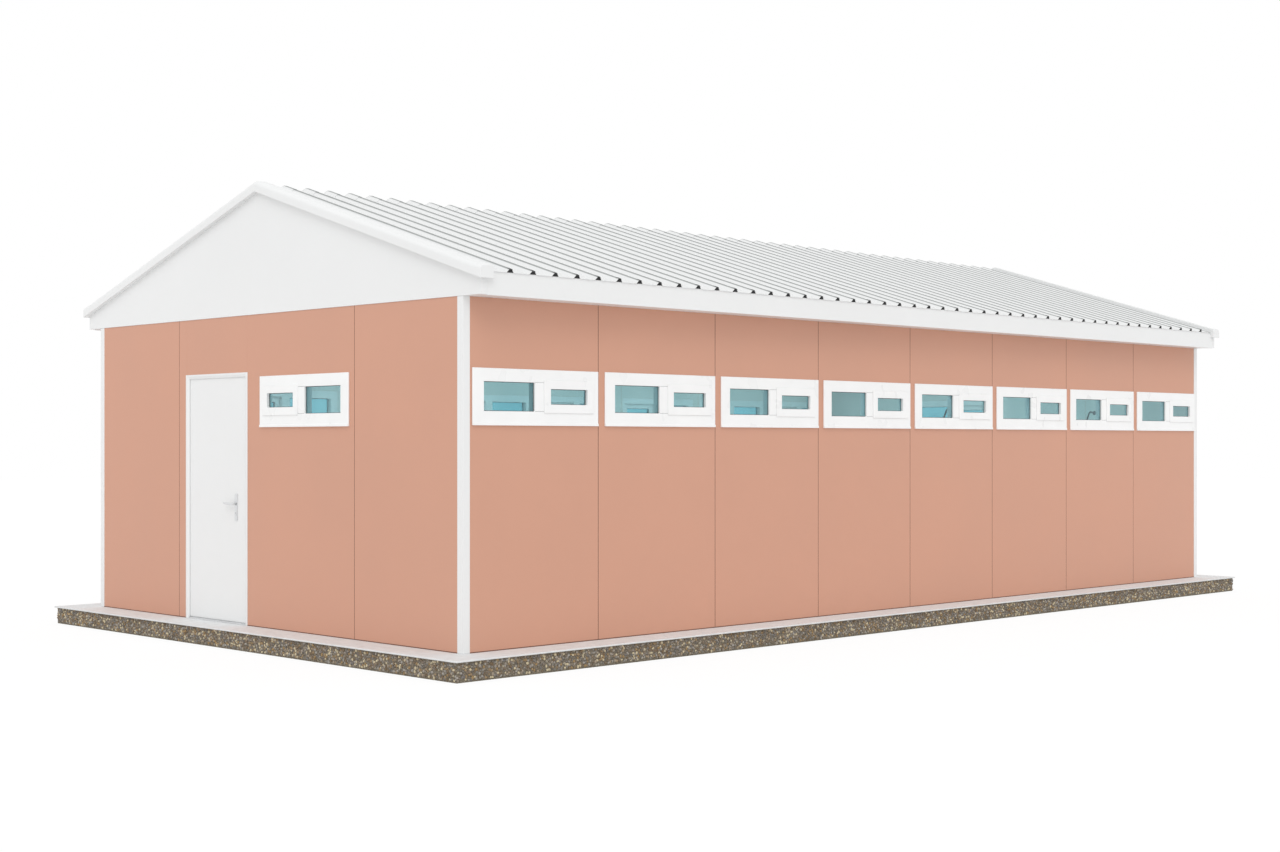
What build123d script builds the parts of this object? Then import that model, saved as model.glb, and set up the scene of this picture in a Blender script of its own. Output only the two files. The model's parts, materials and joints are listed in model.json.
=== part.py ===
from build123d import *
from math import atan2, cos, radians, sin, tan
import os

# A prefabricated panel cabin on a raised base, 5.06 m by 10.09 m over its walls.
# Millimetres, Z up, origin under the middle of the base. The door gable faces -Y
# and the long wall beside it faces +X.

# Overall sizes
cabin_width = 5060.0
cabin_length = 10090.0
wall_height = 2450.0
wall_thickness = 60.0
panel_setback = 3.0

# Raised base
base_height = 150.0
base_margin = 290.0
base_cap_thickness = 12.0
base_cap_overhang = 22.0

# Panel bays of the long walls and seams of the gable walls
bay_start = 20.0
bay_end = 54.0
bay_count = 8
seam_gap = 5.0
gable_middle_width = 2467.0
gable_middle_shift = 33.5

# Window units, which fill the bays from side to side
window_lead = 60.0
window_tail = 10.0
window_height = 398.0
window_sill = 1565.0
window_lap = 18.0
window_proud = 12.0
frame_side = 100.0
frame_bottom = 100.0
frame_head = 93.0
mullion_width = 83.0
pane_thickness = 6.0
pane_recess = 18.0
sash_width = 480.0
sash_side_gap = 52.0
sash_bottom_gap = 90.0
sash_head_gap = 74.0
sash_proud = 8.0
sash_lap = 10.0
sash_depth = 40.0
sash_border = 62.0

# Doorway, to the right of the left gable seam seen from outside
door_lead = 113.0
door_width = 927.0
door_height = 2000.0
door_lap = 10.0
door_proud = 6.0
door_face = 44.0
door_head_face = 35.0
door_lip_thickness = 12.0
door_lip_cover = 14.0
door_slope_width = 22.0
door_slope_depth = 9.0
leaf_thickness = 48.0
leaf_gap = 5.0
leaf_swing_gap = 7.0
threshold_height = 12.0

# Lift-off hinges of the door
hinge_count = 3
hinge_radius = 7.0
hinge_pin_radius = 4.0
hinge_length = 45.0
hinge_face_gap = 1.0
hinge_wing_width = 32.0
hinge_wing_thickness = 3.0
hinge_end_margin = 250.0
running_clearance = 0.05

# Lever handle of the door
handle_backset = 147.0
handle_height = 955.0
handle_plate_width = 38.0
handle_plate_below = 135.0
handle_plate_above = 83.0
handle_plate_thickness = 6.0
lever_neck_radius = 8.0
lever_spindle_radius = 5.0
lever_reach = 46.0
lever_length = 140.0
lever_height = 20.0
lever_thickness = 12.0
leaf_spindle_hole_radius = 14.0

# Shower arms inside the long wall, each seen from its foot below a window
shower_feet = [5620.0, 8034.0]
shower_foot_height = 1500.0
shower_stand_off = 87.0
shower_lean = 155.0
shower_rise = 252.0
shower_reach = 88.0
shower_head_drop = 12.0
shower_head_radius = 20.0
shower_pipe_radius = 8.0
shower_bend_radius = 40.0
shower_rose_radius = 28.0
shower_rose_thickness = 6.0

# Ceiling, eaves and roof
ceiling_thickness = 50.0
eave_projection = 200.0
eave_height = 160.0
fascia_drop = 5.0
fascia_thickness = 15.0
soffit_thickness = 15.0
roof_pitch = 17.1
gable_thickness = 50.0
sheet_thickness = 1.5
sheet_overhang = 8.0
rib_pitch = 207.2
first_rib = 246.0
rib_base = 66.0
rib_top = 26.0
rib_height = 27.0
ridge_cap_length = 130.0
ridge_cap_ease = 2.0

# Verge trims
trim_rise = 34.0
trim_drop = 42.0
trim_proud = 30.0
trim_width = 80.0
trim_metal = 3.0
trim_end_gap = 2.0
trim_end_length = 50.0

# Places that follow from the sizes
half_width = cabin_width / 2
half_length = cabin_length / 2
floor_z = base_height
post_size = wall_thickness + panel_setback
bay_length = (cabin_length - bay_start - bay_end) / bay_count
gable_seam_left = (cabin_width - gable_middle_width) / 2 + gable_middle_shift
gable_seam_right = gable_seam_left + gable_middle_width
window_width = bay_length - window_lead - window_tail
pane_width = window_width - frame_side - mullion_width - sash_width - sash_side_gap
pane_height = window_height - frame_bottom - frame_head
sash_left = frame_side + pane_width + mullion_width
sash_height = window_height - sash_bottom_gap - sash_head_gap
gable_window_left = gable_seam_right - window_lead - window_width
door_left = gable_seam_left + door_lead
wall_top_z = floor_z + wall_height
eave_x = half_width + eave_projection
eave_z = wall_top_z + eave_height
corner = (Align.MIN, Align.MIN)

right_face = Plane(
    origin=(half_width - panel_setback, -half_length, floor_z), x_dir=(0, 1, 0), z_dir=(1, 0, 0)
)
left_face = Plane(
    origin=(panel_setback - half_width, half_length, floor_z), x_dir=(0, -1, 0), z_dir=(-1, 0, 0)
)
front_face = Plane(
    origin=(-half_width, panel_setback - half_length, floor_z), x_dir=(1, 0, 0), z_dir=(0, -1, 0)
)
rear_face = Plane(
    origin=(half_width, half_length - panel_setback, floor_z), x_dir=(-1, 0, 0), z_dir=(0, 1, 0)
)

os.makedirs("parts", exist_ok=True)


def save(builder, name):
    builder.part.label = name
    export_step(builder.part, "parts/" + name + ".step")


# Raised base: a cast block with a thin overhanging cap that is also the floor
base_length = cabin_length + 2 * base_margin
base_width = cabin_width + 2 * base_margin
block_height = base_height - base_cap_thickness

with BuildPart() as plinth_base:
    with BuildSketch():
        Rectangle(base_width - 2 * base_cap_overhang, base_length - 2 * base_cap_overhang)
    extrude(amount=block_height)
save(plinth_base, "plinth_base")

with BuildPart() as plinth_cap:
    with BuildSketch(Plane.XY.offset(block_height)):
        Rectangle(base_width, base_length)
    extrude(amount=base_cap_thickness)
save(plinth_cap, "plinth_cap")

# Corner posts
with BuildPart() as corner_posts:
    with BuildSketch(Plane.XY.offset(floor_z)):
        with GridLocations(cabin_width - post_size, cabin_length - post_size, 2, 2):
            Rectangle(post_size, post_size)
    extrude(amount=wall_height)
save(corner_posts, "corner_posts")


# Wall panels: flat sandwich panels between the seams, cut through for the windows
def wall_panels(face, edges, windows, bottom=0.0):
    with BuildPart() as panels:
        with BuildSketch(face.offset(-wall_thickness)):
            for start, end in edges:
                with Locations((start, bottom)):
                    Rectangle(end - start, wall_height - bottom, align=corner)
            for left in windows:
                with Locations((left + window_lap, window_sill + window_lap)):
                    Rectangle(
                        window_width - 2 * window_lap,
                        window_height - 2 * window_lap,
                        align=corner,
                        mode=Mode.SUBTRACT,
                    )
        extrude(amount=wall_thickness)
    return panels


def between_seams(start, seams, end):
    edges = []
    for seam in seams:
        edges.append((start, seam - seam_gap / 2))
        start = seam + seam_gap / 2
    edges.append((start, end))
    return edges


bay_starts = [bay_start + bay_length * bay for bay in range(bay_count)]
long_edges = between_seams(post_size, bay_starts[1:], cabin_length - post_size)
long_windows = [start + window_lead for start in bay_starts]
gable_edges = between_seams(
    post_size, [gable_seam_left, gable_seam_right], cabin_width - post_size
)
opening_left = door_left + door_lap
opening_right = door_left + door_width - door_lap
opening_top = door_height - door_lap

save(wall_panels(right_face, long_edges, long_windows), "right_wall_panels")
save(wall_panels(left_face, long_edges, long_windows), "left_wall_panels")
save(wall_panels(rear_face, gable_edges, [gable_window_left]), "rear_wall_panels")
save(wall_panels(front_face, gable_edges[:1], []), "front_wall_left_panel")
save(wall_panels(front_face, gable_edges[2:], []), "front_wall_right_panel")

door_side_edges = [(gable_edges[1][0], opening_left)]
save(wall_panels(front_face, door_side_edges, []), "front_wall_door_side_panel")
header_edges = [(opening_left, opening_right)]
save(wall_panels(front_face, header_edges, [], opening_top), "front_wall_door_header")
window_panel_edges = [(opening_right, gable_edges[1][1])]
save(
    wall_panels(front_face, window_panel_edges, [gable_window_left]),
    "front_wall_window_panel",
)


# Window units: a frame with a fixed pane and a smaller top-hung sash beside it
def window_rectangle(left, x, width, y, height, mirrored, mode=Mode.ADD):
    start = left + window_width - x - width if mirrored else left + x
    with Locations((start, window_sill + y)):
        Rectangle(width, height, align=corner, mode=mode)


def window_frames(face, lefts, mirrored):
    depths = [(0.0, window_proud, 0.0), (window_lap, -wall_thickness, 0.0)]
    with BuildPart() as frames:
        for inset, depth, level in depths:
            with BuildSketch(face.offset(level)):
                for left in lefts:
                    window_rectangle(
                        left, inset, window_width - 2 * inset, inset, window_height - 2 * inset, mirrored
                    )
                    window_rectangle(
                        left, frame_side, pane_width, frame_bottom, pane_height, mirrored, Mode.SUBTRACT
                    )
                    window_rectangle(
                        left,
                        sash_left + sash_lap,
                        sash_width - 2 * sash_lap,
                        sash_bottom_gap + sash_lap,
                        sash_height - 2 * sash_lap,
                        mirrored,
                        Mode.SUBTRACT,
                    )
            extrude(amount=depth)
    return frames


def window_sashes(face, lefts, mirrored):
    depths = [(0.0, sash_proud), (sash_lap, -sash_depth)]
    with BuildPart() as sashes:
        for inset, depth in depths:
            with BuildSketch(face.offset(window_proud)):
                for left in lefts:
                    window_rectangle(
                        left,
                        sash_left + inset,
                        sash_width - 2 * inset,
                        sash_bottom_gap + inset,
                        sash_height - 2 * inset,
                        mirrored,
                    )
                    window_rectangle(
                        left,
                        sash_left + sash_border,
                        sash_width - 2 * sash_border,
                        sash_bottom_gap + sash_border,
                        sash_height - 2 * sash_border,
                        mirrored,
                        Mode.SUBTRACT,
                    )
            extrude(amount=depth)
    return sashes


def window_glass(face, lefts, mirrored):
    with BuildPart() as glass:
        with BuildSketch(face.offset(window_proud - pane_recess)):
            for left in lefts:
                window_rectangle(left, frame_side, pane_width, frame_bottom, pane_height, mirrored)
                window_rectangle(
                    left,
                    sash_left + sash_border,
                    sash_width - 2 * sash_border,
                    sash_bottom_gap + sash_border,
                    sash_height - 2 * sash_border,
                    mirrored,
                )
        extrude(amount=-pane_thickness)
    return glass


window_rows = [
    ("right", right_face, long_windows, False),
    ("left", left_face, long_windows, False),
    ("front", front_face, [gable_window_left], True),
    ("rear", rear_face, [gable_window_left], True),
]
for side, face, lefts, mirrored in window_rows:
    save(window_frames(face, lefts, mirrored), side + "_window_frames")
    save(window_sashes(face, lefts, mirrored), side + "_window_sashes")
    save(window_glass(face, lefts, mirrored), side + "_window_glass")

# Door frame: a face flange over the wall, sloped towards the leaf, and a rebate behind it
lip_left = door_left + door_face
lip_width = door_width - 2 * door_face
lip_top = door_height - door_head_face
rebate_left = lip_left - door_lip_cover
rebate_right = lip_left + lip_width + door_lip_cover
rebate_top = lip_top + door_lip_cover
lip_back = door_proud - door_lip_thickness
leaf_outer = lip_back - leaf_gap
leaf_inner = leaf_outer - leaf_thickness


def door_rectangle(left, right, top, mode=Mode.ADD, bottom=0.0):
    with Locations((left, bottom)):
        Rectangle(right - left, top - bottom, align=corner, mode=mode)


with BuildPart() as door_frame:
    with BuildSketch(front_face):
        door_rectangle(door_left, door_left + door_width, door_height)
        door_rectangle(lip_left, lip_left + lip_width, lip_top, Mode.SUBTRACT)
    extrude(amount=door_proud)
    with BuildSketch(front_face):
        door_rectangle(opening_left, opening_right, opening_top)
        door_rectangle(lip_left, lip_left + lip_width, lip_top, Mode.SUBTRACT)
    extrude(amount=lip_back)
    with BuildSketch(front_face.offset(lip_back)):
        door_rectangle(opening_left, opening_right, opening_top)
        door_rectangle(rebate_left, rebate_right, rebate_top, Mode.SUBTRACT)
    extrude(amount=leaf_inner - lip_back)
    flange = door_frame.faces().sort_by(Axis.Y)[0]
    lip_span = (lip_left - half_width, lip_left + lip_width - half_width)
    lip_edges = flange.edges().filter_by_position(Axis.X, *lip_span)
    lip_edges = lip_edges.filter_by_position(Axis.Z, floor_z, floor_z + lip_top)
    chamfer(lip_edges, door_slope_width, door_slope_depth, reference=flange)
save(door_frame, "door_frame")

with BuildPart() as door_threshold:
    with BuildSketch(front_face.offset(door_proud)):
        door_rectangle(lip_left, lip_left + lip_width, threshold_height)
    extrude(amount=leaf_inner - door_proud)
save(door_threshold, "door_threshold")

# Door leaf, with a hole for the handle's spindle
leaf_left = rebate_left + leaf_gap
leaf_right = rebate_right - leaf_swing_gap
leaf_bottom = threshold_height + leaf_gap
leaf_top = rebate_top - leaf_gap
spindle_x = leaf_right - handle_backset

with BuildPart() as door_leaf:
    with BuildSketch(front_face.offset(leaf_inner)):
        door_rectangle(leaf_left, leaf_right, leaf_top, bottom=leaf_bottom)
        with Locations((spindle_x, handle_height)):
            Circle(leaf_spindle_hole_radius, mode=Mode.SUBTRACT)
    extrude(amount=leaf_thickness)
save(door_leaf, "door_leaf")

# Hinges: the pin and lower barrel stay on the frame, the upper barrel lifts with the leaf
hinge_x = leaf_left - leaf_gap / 2
hinge_depth = leaf_inner - hinge_radius - hinge_face_gap
hinge_span = leaf_top - leaf_bottom - 2 * hinge_end_margin
hinge_heights = [
    leaf_bottom + hinge_end_margin + hinge_span * place / (hinge_count - 1)
    for place in range(hinge_count)
]
wing_start = leaf_gap / 2


def hinge_barrels(floor, wing_left, wing_width, hole):
    with BuildPart() as barrels:
        for height in hinge_heights:
            level = Plane.XY.offset(floor_z + height + floor)
            with BuildSketch(level):
                with Locations((hinge_x - half_width, panel_setback - half_length - hinge_depth)):
                    Circle(hinge_radius)
                with Locations((wing_left - half_width, panel_setback - half_length - leaf_inner)):
                    Rectangle(wing_width, hinge_wing_thickness, align=corner)
                if hole:
                    with Locations((hinge_x - half_width, panel_setback - half_length - hinge_depth)):
                        Circle(hinge_pin_radius + running_clearance, mode=Mode.SUBTRACT)
            extrude(amount=hinge_length)
    return barrels


hinge_joint = hinge_face_gap / 2
frame_wing_width = hinge_x - wing_start - opening_left
frame_hinges = hinge_barrels(-hinge_length - hinge_joint, opening_left, frame_wing_width, False)
with BuildPart() as door_hinge_pins:
    add(frame_hinges.part)
    for height in hinge_heights:
        with BuildSketch(Plane.XY.offset(floor_z + height - hinge_joint)):
            with Locations((hinge_x - half_width, panel_setback - half_length - hinge_depth)):
                Circle(hinge_pin_radius)
        extrude(amount=hinge_length + hinge_joint)
save(door_hinge_pins, "door_hinge_pins")
leaf_hinges = hinge_barrels(hinge_joint, hinge_x + wing_start, hinge_wing_width, True)
save(leaf_hinges, "door_hinge_barrels")

# Handle plates on both faces of the leaf
plate_inner = leaf_inner - handle_plate_thickness
plate_height = handle_plate_below + handle_plate_above
plate_middle = handle_height + (handle_plate_above - handle_plate_below) / 2

with BuildPart() as door_handle_plates:
    for level in (leaf_outer, plate_inner):
        with BuildSketch(front_face.offset(level)):
            with Locations((spindle_x, plate_middle)):
                RectangleRounded(handle_plate_width, plate_height, handle_plate_width / 4)
            with Locations((spindle_x, handle_height)):
                Circle(lever_neck_radius + running_clearance, mode=Mode.SUBTRACT)
        extrude(amount=handle_plate_thickness)
save(door_handle_plates, "door_handle_plates")

# Lever handle: one spindle through the leaf with a neck and a lever at each end
with BuildPart() as door_lever:
    with BuildSketch(front_face.offset(leaf_inner)):
        with Locations((spindle_x, handle_height)):
            Circle(lever_spindle_radius)
    extrude(amount=leaf_thickness)
    for start, reach in ((leaf_outer, lever_reach), (leaf_inner, -lever_reach)):
        direction = 1 if reach > 0 else -1
        with BuildSketch(front_face.offset(start)):
            with Locations((spindle_x, handle_height)):
                Circle(lever_neck_radius)
        extrude(amount=reach)
        with BuildSketch(front_face.offset(start + reach)):
            with Locations((spindle_x + lever_height / 2, handle_height)):
                Rectangle(lever_length, lever_height, align=(Align.MAX, Align.CENTER))
        extrude(amount=-direction * lever_thickness)
    lever_edges = door_lever.edges().filter_by(Axis.X).group_by(SortBy.LENGTH)[-1]
    fillet(lever_edges, lever_thickness / 3)
save(door_lever, "door_lever")

# Shower arms: a rose on the inner face of the wall, a bent pipe and a round head
with BuildPart() as shower_arms:
    for foot in shower_feet:
        wall_x = half_width - panel_setback - wall_thickness
        pipe_x = wall_x - shower_stand_off
        foot_y = foot - half_length
        foot_z = floor_z + shower_foot_height
        top_y = foot_y + shower_lean
        top_z = foot_z + shower_rise
        head = (pipe_x, top_y + shower_reach, top_z - shower_head_drop)
        with BuildLine() as pipe_path:
            FilletPolyline(
                (wall_x, foot_y, foot_z),
                (pipe_x, foot_y, foot_z),
                (pipe_x, top_y, top_z),
                head,
                radius=shower_bend_radius,
            )
        with BuildSketch(Plane(origin=(wall_x, foot_y, foot_z), z_dir=(-1, 0, 0))):
            Circle(shower_pipe_radius)
        sweep(path=pipe_path.line)
        with BuildSketch(Plane(origin=(wall_x, foot_y, foot_z), z_dir=(-1, 0, 0))):
            Circle(shower_rose_radius)
        extrude(amount=shower_rose_thickness)
        with Locations(head):
            Sphere(shower_head_radius)
save(shower_arms, "shower_arms")

# Ceiling
with BuildPart() as ceiling:
    with BuildSketch(Plane.XY.offset(wall_top_z)):
        Rectangle(cabin_width, cabin_length - 2 * gable_thickness)
    extrude(amount=ceiling_thickness)
save(ceiling, "ceiling")

# Roof lines in the gable plane: the underside of the roof sheets and what is level with it
slope = tan(radians(roof_pitch))


def roof_z(x, offset=0.0):
    return eave_z + slope * (eave_x - abs(x)) + offset


def chevron(half_span, low, high):
    return [
        (-half_span, roof_z(half_span, low)),
        (0, roof_z(0, low)),
        (half_span, roof_z(half_span, low)),
        (half_span, roof_z(half_span, high)),
        (0, roof_z(0, high)),
        (-half_span, roof_z(half_span, high)),
    ]


# Boxed eaves between the gable panels
eave_run = Plane.XZ.offset(half_length - gable_thickness)
eave_run_length = cabin_length - 2 * gable_thickness
fascia_back = eave_x - fascia_thickness

with BuildPart() as right_fascia:
    with BuildSketch(eave_run):
        with BuildLine():
            Polyline(
                (fascia_back, wall_top_z - fascia_drop),
                (eave_x, wall_top_z - fascia_drop),
                (eave_x, roof_z(eave_x)),
                (fascia_back, roof_z(fascia_back)),
                close=True,
            )
        make_face()
    extrude(amount=-eave_run_length)
save(right_fascia, "right_fascia")

with BuildPart() as left_fascia:
    add(mirror(right_fascia.part, about=Plane.YZ))
save(left_fascia, "left_fascia")

with BuildPart() as right_soffit:
    with BuildSketch(eave_run):
        with Locations((half_width, wall_top_z)):
            Rectangle(fascia_back - half_width, soffit_thickness, align=corner)
    extrude(amount=-eave_run_length)
save(right_soffit, "right_soffit")

with BuildPart() as left_soffit:
    add(mirror(right_soffit.part, about=Plane.YZ))
save(left_soffit, "left_soffit")

# Gable panels, the full width of the roof
with BuildPart() as front_gable_panel:
    with BuildSketch(Plane.XZ.offset(half_length)):
        with BuildLine():
            Polyline(
                (-eave_x, wall_top_z),
                (eave_x, wall_top_z),
                (eave_x, roof_z(eave_x)),
                (0, roof_z(0)),
                (-eave_x, roof_z(eave_x)),
                close=True,
            )
        make_face()
    extrude(amount=-gable_thickness)
save(front_gable_panel, "front_gable_panel")

with BuildPart() as rear_gable_panel:
    add(mirror(front_gable_panel.part, about=Plane.XZ))
save(rear_gable_panel, "rear_gable_panel")

# Verge trims: a face band in front of the gable, a flange over the sheet edge and closed ends
trim_end_start = eave_x + sheet_overhang + trim_end_gap
trim_end = trim_end_start + trim_end_length
sheet_top = sheet_thickness / cos(radians(roof_pitch))

with BuildPart() as front_verge_trim:
    with BuildSketch(Plane.XZ.offset(half_length)):
        with BuildLine():
            Polyline(*chevron(trim_end, -trim_drop, trim_rise), close=True)
        make_face()
    extrude(amount=trim_proud)
    with BuildSketch(Plane.XZ.offset(half_length)):
        with BuildLine():
            Polyline(*chevron(trim_end, trim_rise - trim_metal, trim_rise), close=True)
        make_face()
    extrude(amount=-trim_width)
    with BuildSketch(Plane.XZ.offset(half_length - trim_width + trim_metal)):
        with BuildLine():
            Polyline(*chevron(trim_end, sheet_top, trim_rise), close=True)
        make_face()
    extrude(amount=-trim_metal)
    with BuildSketch(Plane.XZ.offset(half_length)):
        with BuildLine():
            Polyline(*chevron(trim_end, -trim_drop, trim_rise), close=True)
        make_face()
        with Locations((0, eave_z)):
            Rectangle(2 * trim_end_start, 2 * eave_z, mode=Mode.SUBTRACT)
    extrude(amount=-trim_width)
save(front_verge_trim, "front_verge_trim")

with BuildPart() as rear_verge_trim:
    add(mirror(front_verge_trim.part, about=Plane.XZ))
save(rear_verge_trim, "rear_verge_trim")


# Ribbed roof sheets: one closed outline across the ribs, run up the slope to the ridge
rib_turn = atan2(rib_height - sheet_thickness, (rib_base - rib_top) / 2)
rib_shift = sheet_thickness * tan(rib_turn / 2)
last_rib_limit = cabin_length - trim_width - rib_base / 2
rib_count = int((last_rib_limit - first_rib) / rib_pitch) + 1


def ribbed_outline(inset, lift, ease):
    upper = [(-inset, lift + sheet_thickness)]
    lower = [(-inset, lift)]
    for rib in range(rib_count):
        middle = first_rib + rib * rib_pitch
        half_base = rib_base / 2 + ease
        half_top = rib_top / 2 + ease
        for side, half, height in (
            (-1, half_base, sheet_thickness),
            (-1, half_top, rib_height),
            (1, half_top, rib_height),
            (1, half_base, sheet_thickness),
        ):
            upper.append((-middle - side * half, lift + height))
            lower.append((-middle - side * (half - rib_shift), lift + height - sheet_thickness))
    upper.append((inset - cabin_length, lift + sheet_thickness))
    lower.append((inset - cabin_length, lift))
    return upper + lower[::-1]


def up_the_slope(run):
    pitch = radians(roof_pitch)
    return Plane(
        origin=(run, -half_length, roof_z(run)), x_dir=(0, -1, 0), z_dir=(-cos(pitch), 0, sin(pitch))
    )


def ribbed_sheet(run, inset, lift, ease):
    length = run / cos(radians(roof_pitch)) + rib_height
    with BuildPart() as sheet:
        with BuildSketch(up_the_slope(run)):
            with BuildLine():
                Polyline(*ribbed_outline(inset, lift, ease), close=True)
            make_face()
        extrude(amount=length)
        split(bisect_by=Plane.YZ, keep=Keep.TOP)
    return sheet


right_roof_sheet = ribbed_sheet(eave_x + sheet_overhang, 0.0, 0.0, 0.0)
save(right_roof_sheet, "right_roof_sheet")

with BuildPart() as left_roof_sheet:
    add(mirror(right_roof_sheet.part, about=Plane.YZ))
save(left_roof_sheet, "left_roof_sheet")

# Ridge cap: two short ribbed flaps that lie over the sheets and meet at the ridge
right_flap = ribbed_sheet(ridge_cap_length, trim_width, sheet_thickness, ridge_cap_ease)
with BuildPart() as ridge_cap:
    add(right_flap.part)
    add(mirror(right_flap.part, about=Plane.YZ))
save(ridge_cap, "ridge_cap")
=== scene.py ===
# %% [markdown]
# # A portable site cabin, from its frame to its finish
#
# The real cabin is bolted together from painted sandwich panels, folded white steel, plastic windows
# and a ribbed roof, and it stands on a low base faced with pebbles. Its construction comes in as a
# fixed frame of CAD solids, so this lesson never moves or resizes a part. It rounds the edges that
# catch the light, adds the thin things that are too fine for CAD, and gives each surface its finish.

import json
import math

import bmesh
import bpy
from mathutils import Matrix, Vector


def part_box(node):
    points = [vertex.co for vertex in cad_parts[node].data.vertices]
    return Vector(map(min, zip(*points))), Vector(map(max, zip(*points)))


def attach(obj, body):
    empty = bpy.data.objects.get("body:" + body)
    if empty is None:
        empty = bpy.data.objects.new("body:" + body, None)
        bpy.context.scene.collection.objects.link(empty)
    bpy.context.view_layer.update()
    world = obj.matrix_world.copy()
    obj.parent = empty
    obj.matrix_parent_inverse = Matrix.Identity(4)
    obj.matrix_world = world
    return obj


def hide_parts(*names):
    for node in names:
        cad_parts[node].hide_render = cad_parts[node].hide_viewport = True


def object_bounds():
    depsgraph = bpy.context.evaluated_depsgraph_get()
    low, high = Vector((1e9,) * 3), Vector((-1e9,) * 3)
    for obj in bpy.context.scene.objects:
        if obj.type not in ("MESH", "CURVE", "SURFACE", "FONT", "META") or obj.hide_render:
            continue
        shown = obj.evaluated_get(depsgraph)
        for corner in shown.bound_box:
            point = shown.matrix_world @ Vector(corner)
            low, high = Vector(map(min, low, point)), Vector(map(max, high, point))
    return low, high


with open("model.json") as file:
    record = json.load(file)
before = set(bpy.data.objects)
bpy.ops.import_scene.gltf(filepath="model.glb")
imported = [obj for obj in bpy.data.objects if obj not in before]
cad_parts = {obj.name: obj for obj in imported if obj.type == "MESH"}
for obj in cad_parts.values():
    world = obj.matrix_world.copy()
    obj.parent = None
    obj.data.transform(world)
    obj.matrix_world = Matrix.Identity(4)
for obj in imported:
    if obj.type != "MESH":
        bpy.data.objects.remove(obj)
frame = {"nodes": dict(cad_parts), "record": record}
nodes = frame["nodes"]
cad_bounds = [list(corner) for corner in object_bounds()]
MM = 0.001
UP = Vector((0, 0, 1))
print("CAD box from", [round(v, 3) for v in cad_bounds[0]], "to", [round(v, 3) for v in cad_bounds[1]])

# %% [markdown]
# ## The camera
#
# The reference view was taken with a level camera at about eye height, looking at the near corner.
# Its place, direction and focal length were solved from straight edges of the cabin, and its height
# and the horizon were then eased, so that eaves, windows and base share what error is left. They are
# given here as plain values. The horizon lies a little under the middle of the picture, which is a
# small upward shift of the lens and not a tilt, so upright edges stay upright.

# %% Camera
IMAGE_WIDTH = 1280
IMAGE_HEIGHT = 852
FOCAL_PIXELS = 1810.3
HORIZON_ROW = 441.4
CAMERA_PLACE = Vector((12.193, -12.856, 1.604))
VIEW_DIRECTION = Vector((-0.7128, 0.7014, 0.0)).normalized()


def add_object(name, data):
    """An object for a mesh, a lamp or a camera, linked to the scene."""
    obj = bpy.data.objects.new(name, data)
    bpy.context.scene.collection.objects.link(obj)
    return obj


def add_camera():
    """Makes the level camera that the reference picture was taken with."""
    lens = bpy.data.cameras.new("reference_camera")
    lens.sensor_fit = "HORIZONTAL"
    lens.lens = lens.sensor_width * FOCAL_PIXELS / IMAGE_WIDTH
    lens.shift_y = (HORIZON_ROW - IMAGE_HEIGHT / 2) / IMAGE_WIDTH
    camera = add_object("reference_camera", lens)
    right = VIEW_DIRECTION.cross(UP)
    turn = Matrix((right, UP, -VIEW_DIRECTION)).transposed()
    camera.matrix_world = Matrix.Translation(CAMERA_PLACE) @ turn.to_4x4()
    bpy.context.scene.camera = camera
    return camera


camera = add_camera()
print("camera lens:", round(camera.data.lens, 2), "mm")

# %% [markdown]
# ## Materials: the shared parts
#
# Every finish here is one Principled shader with a few procedural nodes in front of it. The nodes
# read Object coordinates. All the pieces sit at the origin, so those are metres in the cabin's own
# frame, and a pattern runs through from one panel to the next as it does on real coil-coated sheet.
# The helpers below add one thing each: a noise, a tone that varies with it, a roughness and a bump.


# %% Shader helpers
def screen_colour(red, green, blue):
    """A colour on the screen's scale of 0 to 255, as the linear colour that a socket takes."""
    return tuple(((level / 255 + 0.055) / 1.055) ** 2.4 for level in (red, green, blue)) + (1.0,)


def new_finish(name, colour, roughness, metallic=0.0):
    """A material with its Principled shader set."""
    material = bpy.data.materials.new(name)
    material.use_nodes = True
    material.diffuse_color = colour
    shader = material.node_tree.nodes["Principled BSDF"]
    shader.inputs["Base Color"].default_value = colour
    shader.inputs["Roughness"].default_value = roughness
    shader.inputs["Metallic"].default_value = metallic
    return material


def shader_of(material):
    return material.node_tree.nodes["Principled BSDF"]


def object_noise(material, scale, stretch=(1.0, 1.0, 1.0), detail=3.0):
    """A noise in metres of the cabin's frame, as a socket from 0 to 1."""
    tree = material.node_tree
    place = tree.nodes.new("ShaderNodeTexCoord")
    mapping = tree.nodes.new("ShaderNodeMapping")
    noise = tree.nodes.new("ShaderNodeTexNoise")
    mapping.inputs["Scale"].default_value = stretch
    noise.inputs["Scale"].default_value = scale
    noise.inputs["Detail"].default_value = detail
    tree.links.new(place.outputs["Object"], mapping.inputs["Vector"])
    tree.links.new(mapping.outputs["Vector"], noise.inputs["Vector"])
    return noise.outputs[0]


def vary_colour(material, factor, tones, low=0.3, high=0.7):
    """Runs a socket through a ramp of evenly spaced tones and into the base colour."""
    tree = material.node_tree
    ramp = tree.nodes.new("ShaderNodeValToRGB")
    ramp.color_ramp.elements[0].position = low
    ramp.color_ramp.elements[1].position = high
    ramp.color_ramp.elements[0].color = tones[0]
    ramp.color_ramp.elements[1].color = tones[-1]
    for place, tone in enumerate(tones[1:-1], start=1):
        stop = ramp.color_ramp.elements.new(low + (high - low) * place / (len(tones) - 1))
        stop.color = tone
    tree.links.new(factor, ramp.inputs["Fac"])
    tree.links.new(ramp.outputs["Color"], shader_of(material).inputs["Base Color"])
    return ramp


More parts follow.
